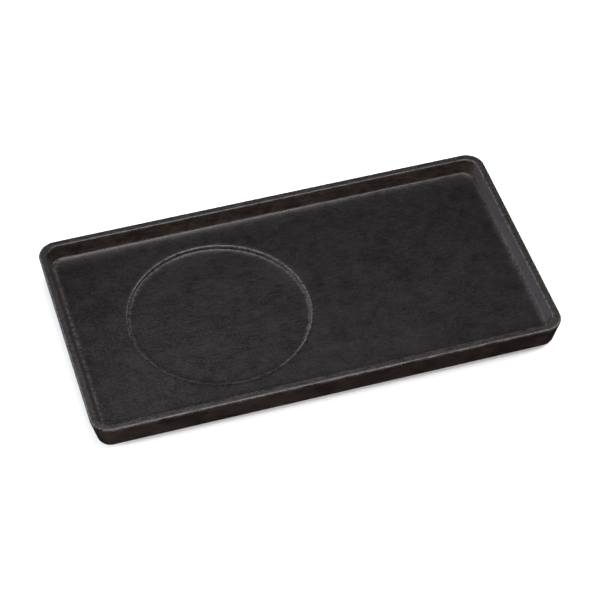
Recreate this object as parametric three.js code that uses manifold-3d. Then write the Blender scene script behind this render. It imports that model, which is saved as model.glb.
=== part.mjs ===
// Rectangular wooden tray with a round seat.
//
// The tray is one solid board. Its top is milled out to leave a thin rim, a flat floor and a shallow round
// seat for a cup, pot or puck. Four anti-slip pads under the base carry it.
//
// Units are millimetres. +X runs along the tray, +Y across it and +Z up. The origin is at the centre of the
// tray, on the surface that the pads stand on.

import * as THREE from 'three';
import { mergeVertices } from 'three/addons/utils/BufferGeometryUtils.js';
import Module from 'manifold-3d';

// Board
const LENGTH = 260;              // the widest outline, at the rim
const WIDTH = 140;
const BOARD_HEIGHT = 18;
const CORNER_RADIUS = 10.5;      // the outline's corners, at the rim

// Outer wall, which leans in toward the base
const OUTER_LEAN = 13;           // degrees from vertical
const TOP_EDGE_RADIUS = 1.2;
const BASE_EDGE_RADIUS = 4.3;

// Rim and inner wall
const RIM_FLAT_END = 3.55;       // distance in from the outline
const RIM_INNER_RADIUS = 0.9;
const INNER_LEAN = 15.5;         // degrees from vertical
const INNER_CORNER_RADIUS = 8;   // the inner corners, at the rim
const CORNER_TIGHTENING = 0.35;  // mm of corner radius lost for each mm further in

// Floor, which meets the wall in a small fillet that runs out in a gentle dish
const FLOOR_DEPTH = 8.6;         // below the rim
const FLOOR_FILLET_RADIUS = 1.5;
const DISH_TILT = 12;            // degrees, where the fillet becomes the dish
const DISH_SLOPE = 2.5;          // from the fillet to the dish's corner point
const DISH_RUN = 4.5;            // from the corner point to where the floor is flat

// Round seat
const SEAT_RADIUS = 49.7;
const SEAT_X = -44;
const SEAT_DEPTH = 2.5;          // below the floor
const LIP_ROLL_TILT = 7;         // degrees, where the floor's slight roll down becomes the rounded lip
const LIP_ROLL_SLOPE = 1;
const LIP_ROLL_RUN = 1.5;
const SEAT_LIP_RADIUS = 1.2;
const SEAT_FILLET_RADIUS = 0.8;
const SEAT_DISH_TILT = 12;
const SEAT_DISH_SLOPE = 1.5;
const SEAT_DISH_RUN = 3;
const SEAT_CLEARANCE = 1;        // how far the removed shape rises past the rim

// Anti-slip pads
const PAD_RADIUS = 7;
const PAD_THICKNESS = 1.7;
const PAD_EDGE = 0.5;
const ADHESIVE_GAP = 0.3;        // the film between a pad and the board
const PAD_X = 104;
const PAD_Y = 46;

// Fineness of the faceted curves
const CORNER_STEPS = 10;
const ARC_STEPS = 4;
const SEAT_STEPS = 72;
const PAD_STEPS = 28;
const SAME_POINT = 1e-4;         // vertices nearer than this are merged

const BASE_Z = PAD_THICKNESS + ADHESIVE_GAP;
const RIM_Z = BASE_Z + BOARD_HEIGHT;
const FLOOR_Z = RIM_Z - FLOOR_DEPTH;
const SEAT_Z = FLOOR_Z - SEAT_DEPTH;

const radians = THREE.MathUtils.degToRad;

const wood = new THREE.MeshStandardMaterial({ color: 0x252222, roughness: 0.5, metalness: 0 });
const rubber = new THREE.MeshStandardMaterial({ color: 0x141414, roughness: 0.85, metalness: 0 });

// ---------------------------------------------------------------------------------------------------------
// Profiles are lists of Vector2: x is the distance in from the outline (or out from an axis), y is the height.

function arc(centreX, centreY, radius, fromDegrees, toDegrees, steps = ARC_STEPS) {
  const curve = new THREE.EllipseCurve(
    centreX, centreY, radius, radius,
    radians(fromDegrees), radians(toDegrees), toDegrees < fromDegrees,
  );
  return curve.getPoints(steps);
}

// From the flat of the base, round its edge, up the leaning wall and over the rim's outer edge.
function outerProfile() {
  const lean = radians(OUTER_LEAN);
  const topY = RIM_Z - TOP_EDGE_RADIUS;
  const wallTopX = TOP_EDGE_RADIUS * (1 - Math.cos(lean));
  const wallTopY = topY - TOP_EDGE_RADIUS * Math.sin(lean);
  const baseY = BASE_Z + BASE_EDGE_RADIUS;
  const baseX = wallTopX + (wallTopY - baseY) * Math.tan(lean) + BASE_EDGE_RADIUS / Math.cos(lean);
  return [
    ...arc(baseX, baseY, BASE_EDGE_RADIUS, 270, 180 + OUTER_LEAN),
    ...arc(TOP_EDGE_RADIUS, topY, TOP_EDGE_RADIUS, 180 + OUTER_LEAN, 180, 1),
    ...arc(TOP_EDGE_RADIUS, topY, TOP_EDGE_RADIUS, 180, 90).slice(1),
  ];
}

// A curve from a slope on to the flat. It runs down unless the tilt is negative, and its direction is 1
// where it runs to larger x and -1 to smaller.
function runOut(start, tilt, slope, run, direction) {
  const cornerX = start.x + direction * slope * Math.cos(radians(tilt));
  const cornerY = start.y - slope * Math.sin(radians(tilt));
  const corner = new THREE.Vector2(cornerX, cornerY);
  const end = new THREE.Vector2(cornerX + direction * run, cornerY);
  return new THREE.QuadraticBezierCurve(start, corner, end).getPoints(ARC_STEPS);
}

// Over the rim's inner edge, down the leaning inner wall, round the fillet and out along the dish.
function innerProfile() {
  const lean = radians(INNER_LEAN);
  const rimY = RIM_Z - RIM_INNER_RADIUS;
  const rimEdge = arc(RIM_FLAT_END, rimY, RIM_INNER_RADIUS, 90, INNER_LEAN, 3);
  const wallTop = rimEdge.at(-1);

  const dishStartY = FLOOR_Z + DISH_SLOPE * Math.sin(radians(DISH_TILT));
  const filletY = dishStartY + FLOOR_FILLET_RADIUS * Math.cos(radians(DISH_TILT));
  const wallEndY = filletY - FLOOR_FILLET_RADIUS * Math.sin(lean);
  const wallEndX = wallTop.x + (wallTop.y - wallEndY) * Math.tan(lean);
  const filletX = wallEndX + FLOOR_FILLET_RADIUS * Math.cos(lean);
  const fillet = arc(filletX, filletY, FLOOR_FILLET_RADIUS, 180 + INNER_LEAN, 270 - DISH_TILT);
  const dish = runOut(fillet.at(-1), DISH_TILT, DISH_SLOPE, DISH_RUN, 1);
  return [...rimEdge, ...fillet, ...dish.slice(1)];
}

// ---------------------------------------------------------------------------------------------------------
// Board

function outerCorner(inset) {
  return CORNER_RADIUS - inset;
}

function innerCorner(inset) {
  return INNER_CORNER_RADIUS - CORNER_TIGHTENING * (inset - RIM_FLAT_END);
}

// One level of the board: a rounded rectangle, anticlockwise from above.
function roundedRectangle(inset, height, cornerRadius) {
  const ring = [];
  const centreX = LENGTH / 2 - inset - cornerRadius;
  const centreY = WIDTH / 2 - inset - cornerRadius;
  const corners = [[1, -1, 270], [1, 1, 0], [-1, 1, 90], [-1, -1, 180]];
  for (const [signX, signY, start] of corners) {
    const points = arc(signX * centreX, signY * centreY, cornerRadius, start, start + 90, CORNER_STEPS);
    for (const point of points) {
      ring.push([point.x, point.y, height]);
    }
  }
  return ring;
}

// A closed surface through the rings, from the lowest, capped flat at both ends.
function loft(rings) {
  const count = rings[0].length;
  const positions = rings.flat(2);
  const indices = [];
  for (let level = 0; level + 1 < rings.length; level += 1) {
    for (let i = 0; i < count; i += 1) {
      const a = level * count + i;
      const b = level * count + (i + 1) % count;
      indices.push(a, b, b + count, a, b + count, a + count);
    }
  }
  const last = (rings.length - 1) * count;
  for (let i = 1; i + 1 < count; i += 1) {
    indices.push(0, i + 1, i);
    indices.push(last, last + i, last + i + 1);
  }
  const geometry = new THREE.BufferGeometry();
  geometry.setAttribute('position', new THREE.Float32BufferAttribute(positions, 3));
  geometry.setIndex(indices);
  return geometry;
}

function boardGeometry() {
  const outer = outerProfile().map((point) => roundedRectangle(point.x, point.y, outerCorner(point.x)));
  const inner = innerProfile().map((point) => roundedRectangle(point.x, point.y, innerCorner(point.x)));
  return loft([...outer, ...inner]);
}

// What the round seat removes: its floor, dish, fillet and rolled lip, carried up past the rim.
function seatCutterGeometry() {
  const lipX = SEAT_RADIUS + SEAT_LIP_RADIUS;
  const rollDrop = LIP_ROLL_SLOPE * Math.sin(radians(LIP_ROLL_TILT));
  const lipY = FLOOR_Z - rollDrop - SEAT_LIP_RADIUS * Math.cos(radians(LIP_ROLL_TILT));
  const lip = arc(lipX, lipY, SEAT_LIP_RADIUS, 180, 90 + LIP_ROLL_TILT);
  const roll = runOut(lip.at(-1), -LIP_ROLL_TILT, LIP_ROLL_SLOPE, LIP_ROLL_RUN, 1);
  const filletX = SEAT_RADIUS - SEAT_FILLET_RADIUS;
  const dishStartY = SEAT_Z + SEAT_DISH_SLOPE * Math.sin(radians(SEAT_DISH_TILT));
  const filletY = dishStartY + SEAT_FILLET_RADIUS * Math.cos(radians(SEAT_DISH_TILT));
  const fillet = arc(filletX, filletY, SEAT_FILLET_RADIUS, 270 + SEAT_DISH_TILT, 360);
  const dish = runOut(fillet[0], SEAT_DISH_TILT, SEAT_DISH_SLOPE, SEAT_DISH_RUN, -1);
  const profile = [
    new THREE.Vector2(0, SEAT_Z),
    ...dish.reverse().slice(0, -1),
    ...fillet,
    ...lip,
    ...roll.slice(1),
    new THREE.Vector2(roll.at(-1).x, RIM_Z + SEAT_CLEARANCE),
    new THREE.Vector2(0, RIM_Z + SEAT_CLEARANCE),
  ];
  const geometry = new THREE.LatheGeometry(profile, SEAT_STEPS);
  geometry.rotateX(Math.PI / 2);
  geometry.translate(SEAT_X, 0, 0);
  return geometry;
}

// ---------------------------------------------------------------------------------------------------------
// Cutting one solid from another

const wasm = await Module();
wasm.setup();

function toManifold(geometry) {
  const bare = geometry.clone();
  bare.deleteAttribute('normal');
  bare.deleteAttribute('uv');
  const merged = mergeVertices(bare, SAME_POINT);
  return new wasm.Manifold(new wasm.Mesh({
    numProp: 3,
    vertProperties: new Float32Array(merged.attributes.position.array),
    triVerts: new Uint32Array(merged.index.array),
  }));
}

function toGeometry(manifold) {
  const mesh = manifold.getMesh();
  const geometry = new THREE.BufferGeometry();
  geometry.setAttribute('position', new THREE.Float32BufferAttribute(mesh.vertProperties, 3));
  geometry.setIndex(Array.from(mesh.triVerts));
  geometry.computeVertexNormals();
  return geometry;
}

function makeTrayBody() {
  const board = toManifold(boardGeometry());
  const seat = toManifold(seatCutterGeometry());
  const mesh = new THREE.Mesh(toGeometry(board.subtract(seat)), wood);
  mesh.name = 'tray_body';
  return mesh;
}

// ---------------------------------------------------------------------------------------------------------
// Anti-slip pads

function padGeometry() {
  const profile = [
    new THREE.Vector2(0, 0),
    new THREE.Vector2(PAD_RADIUS - PAD_EDGE, 0),
    new THREE.Vector2(PAD_RADIUS, PAD_EDGE),
    new THREE.Vector2(PAD_RADIUS, PAD_THICKNESS),
    new THREE.Vector2(0, PAD_THICKNESS),
  ];
  const geometry = new THREE.LatheGeometry(profile, PAD_STEPS);
  geometry.rotateX(Math.PI / 2);
  return geometry;
}

function makePad(name, x, y) {
  const mesh = new THREE.Mesh(padGeometry(), rubber.clone());
  mesh.name = name;
  mesh.position.set(x, y, 0);
  return mesh;
}

const tray = new THREE.Group();
tray.add(makeTrayBody());
for (const [side, signX] of [['left', -1], ['right', 1]]) {
  for (const [end, signY] of [['front', -1], ['back', 1]]) {
    tray.add(makePad(`anti_slip_pad_${end}_${side}`, signX * PAD_X, signY * PAD_Y));
  }
}

export default tray;
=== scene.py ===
"""Looks for a rectangular black wooden tray with a round seat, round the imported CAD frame.

Everything is in metres in the CAD frame: +X along the tray, +Y across it, +Z up, and the origin at the
centre of the tray on the surface that its pads stand on.
"""

import math

import bmesh
import bpy
from mathutils import Matrix, Vector
from mathutils.geometry import delaunay_2d_cdt


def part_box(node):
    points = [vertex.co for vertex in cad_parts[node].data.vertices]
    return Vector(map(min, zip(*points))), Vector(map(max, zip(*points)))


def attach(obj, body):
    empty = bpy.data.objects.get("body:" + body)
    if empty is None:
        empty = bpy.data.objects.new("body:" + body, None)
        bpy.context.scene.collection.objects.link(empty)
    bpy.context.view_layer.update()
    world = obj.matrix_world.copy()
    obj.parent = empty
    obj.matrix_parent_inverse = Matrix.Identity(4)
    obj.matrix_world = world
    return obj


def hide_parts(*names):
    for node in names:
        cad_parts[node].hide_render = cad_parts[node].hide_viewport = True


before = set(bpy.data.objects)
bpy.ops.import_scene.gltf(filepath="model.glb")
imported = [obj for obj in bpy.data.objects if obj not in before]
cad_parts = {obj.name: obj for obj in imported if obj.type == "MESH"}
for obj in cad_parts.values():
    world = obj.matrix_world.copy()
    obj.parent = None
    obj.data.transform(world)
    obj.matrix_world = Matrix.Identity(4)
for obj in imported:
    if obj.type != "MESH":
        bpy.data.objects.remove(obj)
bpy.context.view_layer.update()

MM = 0.001

# Board, from the frame
BOARD_LOW, BOARD_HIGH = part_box("tray_body")
LENGTH = BOARD_HIGH.x - BOARD_LOW.x
WIDTH = BOARD_HIGH.y - BOARD_LOW.y
BASE_Z = BOARD_LOW.z
RIM_Z = BOARD_HIGH.z

# Board profile, the CAD's own dimensions
CORNER_RADIUS = 10.5 * MM
OUTER_LEAN = 13
TOP_EDGE_RADIUS = 1.2 * MM
BASE_EDGE_RADIUS = 4.3 * MM
RIM_FLAT_END = 3.55 * MM
RIM_INNER_RADIUS = 0.9 * MM
INNER_LEAN = 15.5
INNER_CORNER_RADIUS = 8 * MM
CORNER_TIGHTENING = 0.35
FLOOR_DEPTH = 8.6 * MM
FLOOR_FILLET_RADIUS = 1.5 * MM
DISH_TILT = 12
DISH_SLOPE = 2.5 * MM
DISH_RUN = 4.5 * MM
SEAT_RADIUS = 49.7 * MM
SEAT_X = -44.0 * MM
SEAT_DEPTH = 2.5 * MM
SEAT_LIP_RADIUS = 1.2 * MM
LIP_ROLL_TILT = 7
LIP_ROLL_SLOPE = 1.0 * MM
LIP_ROLL_RUN = 1.5 * MM
SEAT_FILLET_RADIUS = 0.8 * MM
SEAT_DISH_TILT = 12
SEAT_DISH_SLOPE = 1.5 * MM
SEAT_DISH_RUN = 3 * MM

# Pads
PAD_EDGE = 0.45 * MM
PAD_TOP_EDGE = 0.15 * MM
FILM_INSET = 0.3 * MM                 # how far the adhesive film stops short of the pad's edge

# How far the stain is rubbed off, together with painted highlights on edges, toes and the seat's lip, from 0
# to 1. A toe is where a floor meets its wall.
RIM_WEAR = 0.3
EDGE_WEAR_AND_HIGHLIGHT = 1
TOE_WEAR_AND_HIGHLIGHT = 0.5
WALL_WEAR = 0.05
SEAT_WEAR = 0.04
SEAT_TOE_WEAR_AND_HIGHLIGHT = 0.65
LIP_START_WEAR_AND_HIGHLIGHT = 0.2

# Painted light: at the tray's left end the toe is painted paler and the rim's inner edge darker, following
# how light falls on that end.
LEFT_RIM_EDGE_WEAR_AND_HIGHLIGHT = 0.2
LEFT_TOE_WEAR_AND_HIGHLIGHT = 1
LEFT_END = 13 * MM                    # how far in from the outline this holds
LEFT_FADE = 12 * MM                   # how much further it fades out

FLOOR_Z = RIM_Z - FLOOR_DEPTH
SEAT_Z = FLOOR_Z - SEAT_DEPTH

# Fineness of the curves and surfaces
CORNER_STEPS = 20
SIDE_STEP = 5 * MM
WALL_STEPS = 4
ARC_STEPS = 8
SEAT_STEPS = 160
PAD_STEPS = 64
PAD_EDGE_STEPS = 6
PAD_TOP_EDGE_STEPS = 3
FLOOR_GRID = 4 * MM
DISC_RINGS = (0.8, 0.6, 0.4, 0.2)     # shares of the disc's radius
SAME_POINT = 1e-7

# Camera
SENSOR_WIDTH = 36                     # mm
CAMERA_FOCAL = 136.746                # mm
CAMERA_AZIMUTH = -17.30
CAMERA_ELEVATION = 47.96
CAMERA_ROLL = 0.50
CAMERA_DISTANCE = 1.2325
CAMERA_AIM = Vector((-0.00164, -0.01106, RIM_Z))
CAMERA_NEAR = 0.05
CAMERA_FAR = 20

# Light. Each softbox has its azimuth round the tray from its front and its elevation, in degrees, then its
# size, power and tint, and whether gloss shows it. Most low ones stay out of the gloss, or they would whiten
# the floor in low views.
SOFTBOX_DISTANCE = 1.2
COOL = (0.88, 0.94, 1)
NEUTRAL = (1, 0.97, 0.98)
WARM = (1, 0.93, 0.86)
SOFTBOXES = (
    ("overhead", 180, 80, (0.4, 0.4), 6.2, NEUTRAL, True),
    ("front_high", 27, 68, (0.4, 0.4), 6.4, NEUTRAL, True),
    ("right_mid", 90, 35, (0.4, 0.4), 5.3, NEUTRAL, True),
    ("front_low", 0, 12, (0.5, 0.4), 2.4, WARM, False),
    ("front_left", 315, 25, (0.5, 0.4), 9.0, NEUTRAL, False),
    ("right_low", 90, 12, (0.8, 0.4), 1.5, NEUTRAL, False),
    ("left_low", 270, 12, (0.8, 0.4), 14.0, COOL, False),
    ("left_sheen", 262, 12, (0.4, 0.4), 2.0, COOL, True),
    ("back_left_low", 229, 12, (0.4, 0.4), 2.2, COOL, True),
    ("back_low", 200, 12, (0.5, 0.2), 1.8, COOL, True),
)
WORLD_LEVEL = 0.55
STAGE_SIZE = 4

# Wood, whose grain runs along X. The scales are in cycles a metre, along and across the grain.
FIGURE_SCALE = (18, 60, 60)
GRAIN_SCALE = (180, 700, 700)
FIBRE_SCALE = (420, 2600, 2600)
CLOUD_SCALE = 90
SPECK_SCALE = 900
STAIN = (15, 14, 14), (24, 21, 22)    # darkest and palest, in levels from 0 to 255
WALL_STAIN = (21, 15, 12), (41, 33, 28)
PORE = (6, 5, 5)
# Painted pale bluish sheen for the walls facing along X
END_WALL_SHEEN = (56, 56, 60)
# Paler colour of worn edges, also used for painted highlights on edges, toes and the seat's lip
RUBBED_AND_HIGHLIGHT = (71, 66, 65)
DUST = (41, 39, 41)
DUST_NEAR = 20 * MM                   # the dust thins out between these distances from the corner
DUST_FAR = 130 * MM
WOOD_ROUGHNESS = 0.30, 0.43
WOOD_BUMP = 0.35
WOOD_SPECULAR = 0.38

# Rubber, with scales in cycles a metre
MOTTLE_SCALE = 300
RUBBER_GRAIN_SCALE = 2500
RUBBER = (30, 30, 31), (42, 42, 43)
RUBBER_ROUGHNESS = 0.75, 0.9
RUBBER_BUMP = 0.4

BUMP_HEIGHT = 0.1 * MM


# ---------------------------------------------------------------------------------------------------------
# Camera and light

def make_camera():
    azimuth, elevation = math.radians(CAMERA_AZIMUTH), math.radians(CAMERA_ELEVATION)
    roll = math.radians(CAMERA_ROLL)
    back = Vector((
        math.sin(azimuth) * math.cos(elevation),
        -math.cos(azimuth) * math.cos(elevation),
        math.sin(elevation),
    ))
    level_right = Vector((0, 0, 1)).cross(back).normalized()
    level_up = back.cross(level_right)
    right = math.cos(roll) * level_right + math.sin(roll) * level_up
    up = back.cross(right)
    data = bpy.data.cameras.new("camera")
    data.lens = CAMERA_FOCAL
    data.sensor_width = SENSOR_WIDTH
    data.clip_start = CAMERA_NEAR
    data.clip_end = CAMERA_FAR
    camera = bpy.data.objects.new("camera", data)
    place = Matrix((right, up, back)).transposed().to_4x4()
    place.translation = CAMERA_AIM + back * CAMERA_DISTANCE
    camera.matrix_world = place
    bpy.context.scene.collection.objects.link(camera)
    bpy.context.scene.camera = camera


def make_softbox(name, azimuth, elevation, size, power, colour, glossy):
    data = bpy.data.lights.new(name, "AREA")
    data.shape = "RECTANGLE"
    data.size, data.size_y = size
    data.energy = power
    data.color = colour
    light = bpy.data.objects.new(name, data)
    turn, rise = math.radians(azimuth), math.radians(elevation)
    place = Vector((
        math.sin(turn) * math.cos(rise),
        -math.cos(turn) * math.cos(rise),
        math.sin(rise),
    ))
    light.location = place * SOFTBOX_DISTANCE
    light.rotation_euler = (-place).to_track_quat("-Z", "Y").to_euler()
    light.visible_glossy = glossy
    bpy.context.scene.collection.objects.link(light)


def make_world():
    """Dim, even light from all round, which gloss doesn't show."""
    world = bpy.data.worlds.new("studio")
    world.use_nodes = True
    background = world.node_tree.nodes["Background"]
    background.inputs["Color"].default_value = (1, 1, 1, 1)
    background.inputs["Strength"].default_value = WORLD_LEVEL
    bpy.context.scene.world = world
    world.cycles_visibility.glossy = False


# ---------------------------------------------------------------------------------------------------------
# Materials

class Nodes:
    """A short way to write a node material."""

    def __init__(self, name):
        self.material = bpy.data.materials.new(name)
        self.material.use_nodes = True
        self.tree = self.material.node_tree
        self.shader = self.tree.nodes["Principled BSDF"]

    def add(self, kind, values=None, **settings):
        node = self.tree.nodes.new(kind)
        for key, value in settings.items():
            setattr(node, key, value)
        for key, value in (values or {}).items():
            if isinstance(value, bpy.types.NodeSocket):
                self.tree.links.new(value, node.inputs[key])
            else:
                node.inputs[key].default_value = value
        return node

    def link(self, output, name):
        self.tree.links.new(output, self.shader.inputs[name])

    def noise(self, vector, scale, detail=4.0, roughness=0.55, distortion=0.0):
        values = {
            "Vector": vector, "Scale": scale, "Detail": detail,
            "Roughness": roughness, "Distortion": distortion,
        }
        return self.add("ShaderNodeTexNoise", values).outputs["Fac"]

    def remap(self, value, from_low, from_high, to_low, to_high):
        values = {
            "Value": value, "From Min": from_low, "From Max": from_high,
            "To Min": to_low, "To Max": to_high,
        }
        return self.add("ShaderNodeMapRange", values).outputs["Result"]

    def math(self, operation, first, second=0.0):
        return self.add("ShaderNodeMath", {0: first, 1: second}, operation=operation).outputs[0]

    def mix(self, factor, first, second):
        node = self.add("ShaderNodeMix", data_type="RGBA")
        for socket, value in ((node.inputs[0], factor), (node.inputs[6], first), (node.inputs[7], second)):
            if isinstance(value, bpy.types.NodeSocket):
                self.tree.links.new(value, socket)
            else:
                socket.default_value = value
        return node.outputs[2]

    def bump(self, height, strength):
        values = {"Height": height, "Strength": strength, "Distance": BUMP_HEIGHT}
        return self.add("ShaderNodeBump", values).outputs["Normal"]


def rgb(levels):
    """sRGB levels from 0 to 255, as a linear colour."""
    linear = []
    for level in levels:
        share = level / 255
        linear.append(share / 12.92 if share <= 0.04045 else ((share + 0.055) / 1.055) ** 2.4)
    return (*linear, 1)


def black_wood():
    """Black-stained, satin-finished wood, grain along X, rubbed paler at worn edges, with painted highlights
    and sheen.
    """
    n = Nodes("black_wood")
    place = n.add("ShaderNodeTexCoord").outputs["Object"]
    figure = n.add("ShaderNodeMapping", {"Vector": place, "Scale": FIGURE_SCALE}).outputs["Vector"]
    grain = n.add("ShaderNodeMapping", {"Vector": place, "Scale": GRAIN_SCALE}).outputs["Vector"]
    fibre = n.add("ShaderNodeMapping", {"Vector": place, "Scale": FIBRE_SCALE}).outputs["Vector"]
    cloud = n.noise(place, CLOUD_SCALE, 4.0, 0.6, 0.6)
    band = n.noise(figure, 1.0, 4.0, 0.6, 0.5)
    streak = n.noise(grain, 1.0, 3.0, 0.65)
    pore = n.noise(fibre, 1.0, 3.0, 0.6)
    speck = n.noise(place, SPECK_SCALE, 3.0, 0.75)
    facing = n.add("ShaderNodeSeparateXYZ", {"Vector": n.add("ShaderNodeNewGeometry").outputs["Normal"]})
    tone = n.math("ADD", n.math("MULTIPLY", cloud, 0.45), n.math("MULTIPLY", band, 0.2))
    tone = n.math("ADD", tone, n.math("MULTIPLY", streak, 0.35))

    # Stain, mottled by the figure and grain, with fine dust toward the front left corner and dark pores
    colour = n.mix(n.remap(tone, 0.4, 0.6, 0, 1), *map(rgb, STAIN))
    front_left = (-LENGTH / 2, -WIDTH / 2, 0)
    away = n.add("ShaderNodeVectorMath", {0: place, 1: front_left}, operation="DISTANCE").outputs["Value"]
    dusty = n.math("MULTIPLY", n.remap(away, DUST_NEAR, DUST_FAR, 1, 0.2), n.remap(cloud, 0.4, 0.6, 0.7, 1))
    dust = n.math("MULTIPLY", n.remap(speck, 0.5, 0.62, 0, 1), dusty)
    colour = n.mix(dust, colour, rgb(DUST))
    colour = n.mix(n.remap(pore, 0.55, 0.7, 0, 0.4), colour, rgb(PORE))

    # The walls take the stain browner, and the walls facing along X get a painted pale bluish sheen.
    upright = n.remap(n.math("ABSOLUTE", facing.outputs["Z"]), 0.3, 0.7, 1, 0)
    brown = n.mix(n.remap(tone, 0.42, 0.58, 0, 1), *map(rgb, WALL_STAIN))
    colour = n.mix(n.math("MULTIPLY", upright, 0.7), colour, brown)
    # Mask for the painted sheen on the walls facing along X
    end = n.remap(n.math("ABSOLUTE", facing.outputs["X"]), 0.85, 0.96, 0, 1)
    colour = n.mix(n.math("MULTIPLY", end, n.remap(speck, 0.35, 0.65, 0.3, 0.7)), colour, rgb(END_WALL_SHEEN))

    # Stain rubbed off the edges, unevenly, with painted highlights on the edges, toes and seat lip
    wear_and_highlight = n.add("ShaderNodeAttribute", attribute_name="wear_and_highlight").outputs["Fac"]
    rubbed_and_lit = n.math("MULTIPLY", wear_and_highlight, n.remap(n.math("ADD", streak, speck), 0.85, 1.15, 0.05, 1))
    colour = n.mix(rubbed_and_lit, colour, rgb(RUBBED_AND_HIGHLIGHT))
    n.link(colour, "Base Color")

    # Satin gloss, and a fine surface with open pores
    gloss = n.math("ADD", n.math("MULTIPLY", tone, 0.6), n.math("MULTIPLY", speck, 0.4))
    n.link(n.remap(gloss, 0.4, 0.6, *WOOD_ROUGHNESS), "Roughness")
    fine = n.math("ADD", n.math("MULTIPLY", pore, -0.6), n.math("MULTIPLY", speck, 0.5))
    fine = n.math("ADD", fine, n.math("MULTIPLY", streak, 0.6))
    n.link(n.bump(fine, WOOD_BUMP), "Normal")
    n.shader.inputs["Specular IOR Level"].default_value = WOOD_SPECULAR
    return n.material


def pad_rubber():
    n = Nodes("pad_rubber")
    place = n.add("ShaderNodeTexCoord").outputs["Object"]
    mottle = n.noise(place, MOTTLE_SCALE, 3.0)
    grain = n.noise(place, RUBBER_GRAIN_SCALE, 2.0)
    n.link(n.mix(n.remap(mottle, 0.3, 0.7, 0, 1), *map(rgb, RUBBER)), "Base Color")
    n.link(n.remap(grain, 0.3, 0.7, *RUBBER_ROUGHNESS), "Roughness")
    n.link(n.bump(grain, RUBBER_BUMP), "Normal")
    return n.material


def pale_floor():
    n = Nodes("pale_floor")
    place = n.add("ShaderNodeTexCoord").outputs["Object"]
    shade = n.noise(place, 3, 2.0)
    n.link(n.mix(shade, (0.94, 0.94, 0.94, 1), (0.96, 0.96, 0.96, 1)), "Base Color")
    n.shader.inputs["Roughness"].default_value = 0.8
    return n.material


# ---------------------------------------------------------------------------------------------------------
# Board

def arc(centre_x, centre_y, radius, start, end, steps=ARC_STEPS):
    """Points on an arc from one angle to another, in degrees."""
    points = []
    for step in range(steps + 1):
        angle = math.radians(start + (end - start) * step / steps)
        points.append((centre_x + radius * math.cos(angle), centre_y + radius * math.sin(angle)))
    return points


def straight(start, end, steps):
    """The points between two ends, leaving out both."""
    return [
        (start[0] + (end[0] - start[0]) * step / steps, start[1] + (end[1] - start[1]) * step / steps)
        for step in range(1, steps)
    ]


def run_out(start, slope, along_slope, along_flat, direction=1):
    """A curve from a slope on to the flat, leaving out its start."""
    corner = (start[0] + direction * along_slope * math.cos(slope), start[1] - along_slope * math.sin(slope))
    end = (corner[0] + direction * along_flat, corner[1])
    points = []
    for step in range(1, ARC_STEPS + 1):
        t = step / ARC_STEPS
        shares = ((1 - t) ** 2, 2 * t * (1 - t), t * t)
        points.append(tuple(
            sum(share * point[axis] for share, point in zip(shares, (start, corner, end))) for axis in (0, 1)
        ))
    return points


def with_wear_and_highlight(points, first, last=None):
    """The points with their wear and painted highlight, from one end of the list to the other."""
    last = first if last is None else last
    steps = max(1, len(points) - 1)
    return [(x, y, first + (last - first) * i / steps) for i, (x, y) in enumerate(points)]


def outer_profile():
    """(distance in from the outline, height, wear and painted highlight), from the flat of the base to the
    top of the rim.
    """
    lean = math.radians(OUTER_LEAN)
    top_y = RIM_Z - TOP_EDGE_RADIUS
    wall_top_x = TOP_EDGE_RADIUS * (1 - math.cos(lean))
    wall_top_y = top_y - TOP_EDGE_RADIUS * math.sin(lean)
    base_y = BASE_Z + BASE_EDGE_RADIUS
    base_x = wall_top_x + (wall_top_y - base_y) * math.tan(lean) + BASE_EDGE_RADIUS / math.cos(lean)
    base_edge = arc(base_x, base_y, BASE_EDGE_RADIUS, 270, 180 + OUTER_LEAN)
    below_widest = arc(TOP_EDGE_RADIUS, top_y, TOP_EDGE_RADIUS, 180 + OUTER_LEAN, 180, 2)
    top_edge = arc(TOP_EDGE_RADIUS, top_y, TOP_EDGE_RADIUS, 180, 90)
    half = len(top_edge) // 2
    return (
        with_wear_and_highlight(base_edge, EDGE_WEAR_AND_HIGHLIGHT / 2, WALL_WEAR)
        + with_wear_and_highlight(straight(base_edge[-1], below_widest[0], WALL_STEPS), WALL_WEAR)
        + with_wear_and_highlight(below_widest[:-1], WALL_WEAR)
        + with_wear_and_highlight(top_edge[:half], WALL_WEAR, EDGE_WEAR_AND_HIGHLIGHT / 3)
        + with_wear_and_highlight(top_edge[half:-1], EDGE_WEAR_AND_HIGHLIGHT)
        + with_wear_and_highlight(top_edge[-1:], RIM_WEAR)
    )


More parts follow.
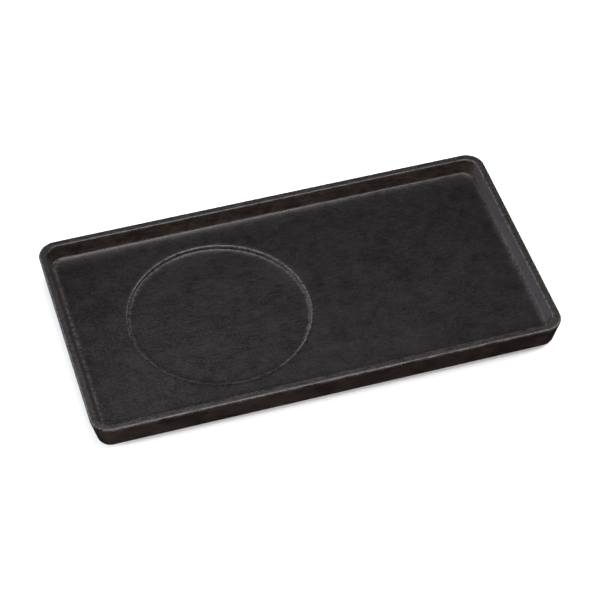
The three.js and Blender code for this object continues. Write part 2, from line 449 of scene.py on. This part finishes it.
def inner_profile(edge_wear_and_highlight, toe_wear_and_highlight):
    """(distance in from the outline, height, wear and painted highlight), from the top of the rim to the
    flat of the floor.
    """
    lean = math.radians(INNER_LEAN)
    slope = math.radians(DISH_TILT)
    rim_edge = arc(RIM_FLAT_END, RIM_Z - RIM_INNER_RADIUS, RIM_INNER_RADIUS, 90, INNER_LEAN)
    wall_top_x, wall_top_y = rim_edge[-1]
    fillet_end_y = FLOOR_Z + DISH_SLOPE * math.sin(slope)
    fillet_y = fillet_end_y + FLOOR_FILLET_RADIUS * math.cos(slope)
    wall_end_y = fillet_y - FLOOR_FILLET_RADIUS * math.sin(lean)
    wall_end_x = wall_top_x + (wall_top_y - wall_end_y) * math.tan(lean)
    fillet_x = wall_end_x + FLOOR_FILLET_RADIUS * math.cos(lean)
    fillet = arc(fillet_x, fillet_y, FLOOR_FILLET_RADIUS, 180 + INNER_LEAN, 270 - DISH_TILT)
    dish = run_out(fillet[-1], slope, DISH_SLOPE, DISH_RUN)
    return (
        with_wear_and_highlight(rim_edge[:4], RIM_WEAR, edge_wear_and_highlight)
        + with_wear_and_highlight(rim_edge[4:], edge_wear_and_highlight, WALL_WEAR)
        + with_wear_and_highlight(straight(rim_edge[-1], fillet[0], WALL_STEPS), WALL_WEAR)
        + with_wear_and_highlight(fillet[:-2], WALL_WEAR, toe_wear_and_highlight)
        + with_wear_and_highlight(fillet[-2:], toe_wear_and_highlight)
        + with_wear_and_highlight(dish[:3], toe_wear_and_highlight / 2, 0)
        + with_wear_and_highlight(dish[3:], 0)
    )


def seat_profile():
    """(distance out from the seat's axis, height, wear and painted highlight), from the flat of the floor to
    that of the seat.
    """
    roll_slope = math.radians(LIP_ROLL_TILT)
    lip_x = SEAT_RADIUS + SEAT_LIP_RADIUS
    lip_y = FLOOR_Z - LIP_ROLL_SLOPE * math.sin(roll_slope) - SEAT_LIP_RADIUS * math.cos(roll_slope)
    lip = arc(lip_x, lip_y, SEAT_LIP_RADIUS, 90 + LIP_ROLL_TILT, 180)
    roll = run_out(lip[0], -roll_slope, LIP_ROLL_SLOPE, LIP_ROLL_RUN)
    slope = math.radians(SEAT_DISH_TILT)
    fillet_x = SEAT_RADIUS - SEAT_FILLET_RADIUS
    fillet_y = SEAT_Z + SEAT_DISH_SLOPE * math.sin(slope) + SEAT_FILLET_RADIUS * math.cos(slope)
    fillet = arc(fillet_x, fillet_y, SEAT_FILLET_RADIUS, 360, 270 + SEAT_DISH_TILT)
    dish = run_out(fillet[-1], slope, SEAT_DISH_SLOPE, SEAT_DISH_RUN, direction=-1)
    return (
        with_wear_and_highlight(roll[::-1], 0)
        + with_wear_and_highlight(lip[:2], LIP_START_WEAR_AND_HIGHLIGHT, EDGE_WEAR_AND_HIGHLIGHT)
        + with_wear_and_highlight(lip[2:5], EDGE_WEAR_AND_HIGHLIGHT)
        + with_wear_and_highlight(lip[5:], EDGE_WEAR_AND_HIGHLIGHT / 2, WALL_WEAR)
        + with_wear_and_highlight(fillet, WALL_WEAR, SEAT_TOE_WEAR_AND_HIGHLIGHT)
        + with_wear_and_highlight(dish[:3], SEAT_TOE_WEAR_AND_HIGHLIGHT, SEAT_WEAR)
        + with_wear_and_highlight(dish[3:], SEAT_WEAR)
    )


def rounded_rectangle(inset, height, radius):
    """One level of the board, anticlockwise from above, with points along its straight sides too."""
    half_x, half_y = LENGTH / 2 - inset - radius, WIDTH / 2 - inset - radius
    long_steps = round(LENGTH / SIDE_STEP)
    short_steps = round(WIDTH / SIDE_STEP)
    ring = []
    corners = [(1, -1, 270), (1, 1, 0), (-1, 1, 90), (-1, -1, 180)]
    for index, (sign_x, sign_y, start) in enumerate(corners):
        ring += arc(sign_x * half_x, sign_y * half_y, radius, start, start + 90, CORNER_STEPS)
        next_x, next_y, next_start = corners[(index + 1) % 4]
        following = arc(next_x * half_x, next_y * half_y, radius, next_start, next_start + 90, 1)[0]
        ring += straight(ring[-1], following, short_steps if index % 2 == 0 else long_steps)
    return [(x, y, height) for x, y in ring]


def circle(radius, height):
    return [(SEAT_X + x, y, height) for x, y in arc(0, 0, radius, 0, 360, SEAT_STEPS)[:-1]]


def inner_corner(inset):
    return INNER_CORNER_RADIUS - CORNER_TIGHTENING * (inset - RIM_FLAT_END)


def left_share(x):
    """1 over the tray's left end, fading to 0 round its corners."""
    return min(1, max(0, (LEFT_END + LEFT_FADE - LENGTH / 2 - x) / LEFT_FADE))


def add_ring(mesh, points):
    return [mesh.verts.new(point) for point in points]


def join_rings(mesh, low, high):
    """Quads between two rings of as many points, facing out when the second is above or inside the first."""
    count = len(low)
    for i in range(count):
        j = (i + 1) % count
        mesh.faces.new((low[i], low[j], high[j], high[i]))


def fill_between(mesh, outline, hole, height):
    """Flat, evenly meshed surface between two rings that are already there."""
    points = [Vector((v.co.x, v.co.y)) for v in outline + hole]
    known = list(outline + hole)
    edges = [(i, (i + 1) % len(outline)) for i in range(len(outline))]
    first = len(outline)
    edges += [(first + i, first + (i + 1) % len(hole)) for i in range(len(hole))]
    low = Vector((min(p.x for p in points), min(p.y for p in points)))
    high = Vector((max(p.x for p in points), max(p.y for p in points)))
    columns = round((high.x - low.x) / FLOOR_GRID)
    rows = round((high.y - low.y) / FLOOR_GRID)
    hole_radius = max(math.hypot(v.co.x - SEAT_X, v.co.y) for v in hole)
    for column in range(1, columns):
        for row in range(1, rows):
            x = low.x + (high.x - low.x) * column / columns
            y = low.y + (high.y - low.y) * row / rows
            if math.hypot(x - SEAT_X, y) > hole_radius + FLOOR_GRID / 2:
                points.append(Vector((x, y)))
                known.append(mesh.verts.new((x, y, height)))
    made, _, triangles, _, _, _ = delaunay_2d_cdt(points, edges, [], 1, SAME_POINT)
    if len(made) != len(points):
        raise ValueError("the floor's points were merged, so its surface wouldn't meet its edges")
    for triangle in triangles:
        centre = sum((points[i] for i in triangle), Vector((0, 0))) / 3
        if math.hypot(centre.x - SEAT_X, centre.y) > hole_radius * math.cos(math.pi / SEAT_STEPS):
            mesh.faces.new([known[i] for i in triangle])


def fill_disc(mesh, rim, centre_point):
    """Flat disc from a ring in to its centre, in a few rings of quads and a middle fan."""
    made = []
    ring = rim
    for share in DISC_RINGS:
        inner = add_ring(mesh, [Vector(centre_point).lerp(v.co, share) for v in rim])
        join_rings(mesh, ring, inner)
        made += inner
        ring = inner
    centre = mesh.verts.new(centre_point)
    for i in range(len(ring)):
        mesh.faces.new((ring[i], ring[(i + 1) % len(ring)], centre))
    return made + [centre]


def make_board():
    mesh = bmesh.new()
    wear_and_highlight = mesh.verts.layers.float.new("wear_and_highlight")
    levels = [(x, y, CORNER_RADIUS - x, rubbed_and_lit, rubbed_and_lit) for x, y, rubbed_and_lit in outer_profile()]
    inside = zip(inner_profile(EDGE_WEAR_AND_HIGHLIGHT, TOE_WEAR_AND_HIGHLIGHT), inner_profile(LEFT_RIM_EDGE_WEAR_AND_HIGHLIGHT, LEFT_TOE_WEAR_AND_HIGHLIGHT))
    levels += [(x, y, inner_corner(x), rubbed_and_lit, at_left) for (x, y, rubbed_and_lit), (_, _, at_left) in inside]
    rings = []
    for inset, height, radius, rubbed_and_lit, at_left in levels:
        ring = add_ring(mesh, rounded_rectangle(inset, height, radius))
        for v in ring:
            # Wear and painted highlight, with the left end's painted light faded in
            v[wear_and_highlight] = rubbed_and_lit + (at_left - rubbed_and_lit) * left_share(v.co.x)
        rings.append(ring)
    for low, high in zip(rings, rings[1:]):
        join_rings(mesh, low, high)
    mesh.faces.new(list(reversed(rings[0])))

    seat_rings = []
    for radius, height, rubbed_and_lit in seat_profile():
        ring = add_ring(mesh, circle(radius, height))
        for v in ring:
            v[wear_and_highlight] = rubbed_and_lit
        seat_rings.append(ring)
    for low, high in zip(seat_rings, seat_rings[1:]):
        join_rings(mesh, low, high)
    fill_between(mesh, rings[-1], seat_rings[0], FLOOR_Z)
    for v in fill_disc(mesh, seat_rings[-1], (SEAT_X, 0, SEAT_Z)):
        v[wear_and_highlight] = SEAT_WEAR
    bmesh.ops.recalc_face_normals(mesh, faces=mesh.faces)
    return finish_mesh(mesh, "tray_board", black_wood())


def finish_mesh(mesh, name, material):
    data = bpy.data.meshes.new(name)
    mesh.to_mesh(data)
    mesh.free()
    data.shade_smooth()
    data.materials.append(material)
    piece = bpy.data.objects.new(name, data)
    bpy.context.scene.collection.objects.link(piece)
    return piece


# ---------------------------------------------------------------------------------------------------------
# Pads

def make_pad(node, material):
    """A die-cut rubber disc with a softened lower edge, and its adhesive film up to the board."""
    low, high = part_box(node)
    centre_x, centre_y = (low.x + high.x) / 2, (low.y + high.y) / 2
    radius = (high.x - low.x) / 2
    film_radius = radius - FILM_INSET
    profile = arc(radius - PAD_EDGE, low.z + PAD_EDGE, PAD_EDGE, 270, 360, PAD_EDGE_STEPS)
    top_edge_x, top_edge_y = radius - PAD_TOP_EDGE, high.z - PAD_TOP_EDGE
    profile += arc(top_edge_x, top_edge_y, PAD_TOP_EDGE, 0, 90, PAD_TOP_EDGE_STEPS)
    profile += [(film_radius, high.z), (film_radius, BASE_Z)]
    mesh = bmesh.new()
    rings = []
    for x, y in profile:
        points = [(centre_x + a, centre_y + b, y) for a, b in arc(0, 0, x, 0, 360, PAD_STEPS)[:-1]]
        rings.append(add_ring(mesh, points))
    for first, second in zip(rings, rings[1:]):
        join_rings(mesh, first, second)
    fill_disc(mesh, rings[0], (centre_x, centre_y, low.z))
    fill_disc(mesh, rings[-1], (centre_x, centre_y, BASE_Z))
    bmesh.ops.recalc_face_normals(mesh, faces=mesh.faces)
    return finish_mesh(mesh, "rubber_" + node, material)


# ---------------------------------------------------------------------------------------------------------
# Scene

def make_floor():
    mesh = bmesh.new()
    bmesh.ops.create_grid(mesh, x_segments=8, y_segments=8, size=STAGE_SIZE)
    floor = finish_mesh(mesh, "floor", pale_floor())
    floor.visible_glossy = False


bpy.context.scene.view_settings.view_transform = "Standard"
make_camera()
make_world()
for name, *settings in SOFTBOXES:
    make_softbox(name, *settings)
make_floor()

board = make_board()
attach(board, "root")
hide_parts("tray_body")

rubber = pad_rubber()
for node in sorted(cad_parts):
    if node.startswith("anti_slip_pad"):
        pad = make_pad(node, rubber)
        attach(pad, "root")
        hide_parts(node)
